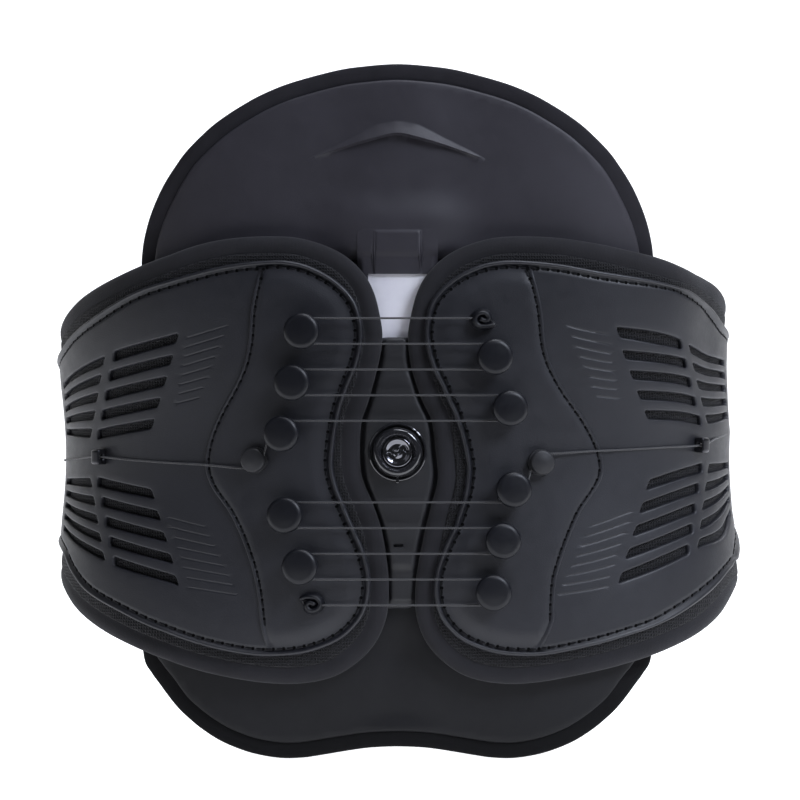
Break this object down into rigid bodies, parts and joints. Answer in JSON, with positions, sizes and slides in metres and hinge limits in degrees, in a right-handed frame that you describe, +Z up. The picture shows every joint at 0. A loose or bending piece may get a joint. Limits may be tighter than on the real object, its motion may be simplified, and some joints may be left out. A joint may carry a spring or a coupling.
{
  "type": "back brace",
  "caption": "Lumbar back brace with sliding back plates, pulley lacing on two back panels, and wrap-around front wings with pull handles.",
  "frame": {"origin": "on the wearer's axis at the waist line, level with the middle of the lacing panels", "axes": "+Z up along the spine, -Y towards the back plates, +Y towards the front closure, +X to the right seen from behind"},
  "size_m": [0.3342, 0.2364, 0.3261],
  "materials": {
    "satin_plastic": "satin moulded, charcoal",
    "gloss_cap": "gloss, blue-black",
    "dial_chrome": "polished",
    "rail_metal": "matte, light grey",
    "nylon": "satin",
    "cord": "braided",
    "pad_binding": "knit over foam",
    "liner_foam": "brushed knit over foam",
    "air_mesh": "spacer mesh",
    "leatherette": "satin leatherette",
    "wing_fabric": "knit over foam",
    "hook_and_loop": "hook and loop",
    "handle_plastic": "satin moulded"
  },
  "bodies": {
    "lower_support": {"lower_back_plate": "satin_plastic", "lower_liner": "liner_foam", "spine_housing": "satin_plastic", "dial_bezel": "gloss_cap"},
    "lock_dial": {"lock_dial": "gloss_cap", "dial_core": "dial_chrome"},
    "upper_support": {"upper_back_plate": "satin_plastic", "upper_liner": "liner_foam", "height_rail": "rail_metal", "rail_sleeve": "satin_plastic"},
    "left_panel": {"left_pad": "pad_binding", "left_mesh_layer": "air_mesh", "left_shell": "leatherette", "left_pulley_plate": "leatherette", "left_pulley_cap_1": "gloss_cap", "left_pulley_cap_2": "gloss_cap", "left_pulley_cap_3": "gloss_cap", "left_pulley_cap_4": "gloss_cap", "left_pulley_cap_5": "gloss_cap", "left_cord_anchor": "gloss_cap", "left_cord_guide": "gloss_cap", "left_cord_eyelet": "nylon", "upper_lacing_cord": "cord"},
    "left_wing": {"left_wing": "wing_fabric", "left_loop_patch": "hook_and_loop"},
    "left_pull": {"left_pull_handle": "handle_plastic", "left_handle_hook_pad": "hook_and_loop"},
    "right_panel": {"right_pad": "pad_binding", "right_mesh_layer": "air_mesh", "right_shell": "leatherette", "right_pulley_plate": "leatherette", "right_pulley_cap_1": "gloss_cap", "right_pulley_cap_2": "gloss_cap", "right_pulley_cap_3": "gloss_cap", "right_pulley_cap_4": "gloss_cap", "right_pulley_cap_5": "gloss_cap", "right_cord_anchor": "gloss_cap", "right_cord_guide": "gloss_cap", "right_cord_eyelet": "nylon", "lower_lacing_cord": "cord"},
    "right_wing": {"right_wing": "wing_fabric", "right_hook_patch": "hook_and_loop"},
    "right_pull": {"right_pull_handle": "handle_plastic", "right_handle_hook_pad": "hook_and_loop"},
    "left_sheave_1": {"left_sheave_1": "nylon"},
    "left_sheave_2": {"left_sheave_2": "nylon"},
    "left_sheave_3": {"left_sheave_3": "nylon"},
    "left_sheave_4": {"left_sheave_4": "nylon"},
    "left_sheave_5": {"left_sheave_5": "nylon"},
    "right_sheave_1": {"right_sheave_1": "nylon"},
    "right_sheave_2": {"right_sheave_2": "nylon"},
    "right_sheave_3": {"right_sheave_3": "nylon"},
    "right_sheave_4": {"right_sheave_4": "nylon"},
    "right_sheave_5": {"right_sheave_5": "nylon"}
  },
  "joints": [
    {"name": "height_slide", "type": "slide", "parent": "lower_support", "child": "upper_support", "axis": [0, 0, 1], "range_m": [-0.02, 0.02]},
    {"name": "dial_turn", "type": "hinge", "parent": "lower_support", "child": "lock_dial", "pos_m": [0, -0.094, 0.0035], "axis": [0, -1, 0], "range_deg": [0, 90]},
    {"name": "left_panel_slide", "type": "slide", "parent": "lower_support", "child": "left_panel", "axis": [-1, 0, 0], "range_m": [0, 0.025], "deforming": ["upper_lacing_cord", "lower_lacing_cord"]},
    {"name": "right_panel_slide", "type": "slide", "parent": "lower_support", "child": "right_panel", "axis": [1, 0, 0], "range_m": [0, 0.025]},
    {"name": "left_sheave_1_spin", "type": "hinge", "parent": "left_panel", "child": "left_sheave_1", "pos_m": [-0.04383, -0.11666, 0.0593], "axis": [-0.085, -0.9962, -0.0174], "continuous": true},
    {"name": "left_sheave_2_spin", "type": "hinge", "parent": "left_panel", "child": "left_sheave_2", "pos_m": [-0.04813, -0.11568, 0.0357], "axis": [-0.1318, -0.991, -0.0255], "continuous": true},
    {"name": "left_sheave_3_spin", "type": "hinge", "parent": "left_panel", "child": "left_sheave_3", "pos_m": [-0.05291, -0.11435, 0.0121], "axis": [-0.18, -0.9835, -0.0166], "continuous": true},
    {"name": "left_sheave_4_spin", "type": "hinge", "parent": "left_panel", "child": "left_sheave_4", "pos_m": [-0.05134, -0.11493, -0.0254], "axis": [-0.1581, -0.9871, 0.027], "continuous": true},
    {"name": "left_sheave_5_spin", "type": "hinge", "parent": "left_panel", "child": "left_sheave_5", "pos_m": [-0.04457, -0.1164, -0.049], "axis": [-0.1016, -0.9946, 0.0199], "continuous": true},
    {"name": "right_sheave_1_spin", "type": "hinge", "parent": "right_panel", "child": "right_sheave_1", "pos_m": [0.04457, -0.11637, 0.0475], "axis": [0.1039, -0.9944, -0.02], "continuous": true},
    {"name": "right_sheave_2_spin", "type": "hinge", "parent": "right_panel", "child": "right_sheave_2", "pos_m": [0.05134, -0.11489, 0.0239], "axis": [0.1603, -0.9867, -0.026], "continuous": true},
    {"name": "right_sheave_3_spin", "type": "hinge", "parent": "right_panel", "child": "right_sheave_3", "pos_m": [0.05292, -0.11438, -0.0136], "axis": [0.1786, -0.9838, 0.0185], "continuous": true},
    {"name": "right_sheave_4_spin", "type": "hinge", "parent": "right_panel", "child": "right_sheave_4", "pos_m": [0.04813, -0.11571, -0.0372], "axis": [0.1292, -0.9913, 0.0257], "continuous": true},
    {"name": "right_sheave_5_spin", "type": "hinge", "parent": "right_panel", "child": "right_sheave_5", "pos_m": [0.04384, -0.11669, -0.0608], "axis": [0.0829, -0.9964, 0.0172], "continuous": true},
    {"name": "left_wing_hinge", "type": "hinge", "parent": "left_panel", "child": "left_wing", "pos_m": [-0.1583, 0.0352, 0], "axis": [0, 0, 1], "range_deg": [0, 50]},
    {"name": "left_pull_release", "type": "slide", "parent": "left_wing", "child": "left_pull", "axis": [-0.633, 0.7742, 0], "range_m": [0, 0.012]},
    {"name": "right_wing_hinge", "type": "hinge", "parent": "right_panel", "child": "right_wing", "pos_m": [0.1583, 0.0352, 0], "axis": [0, 0, -1], "range_deg": [0, 100]},
    {"name": "right_pull_release", "type": "slide", "parent": "right_wing", "child": "right_pull", "axis": [0.633, 0.7741, 0], "range_m": [0, 0.012]}
  ],
  "couplings": [
    {"joint": "right_panel_slide", "follows": "left_panel_slide", "ratio": 1},
    {"joint": "left_wing_hinge", "follows": "right_wing_hinge", "ratio": 0.5}
  ]
}
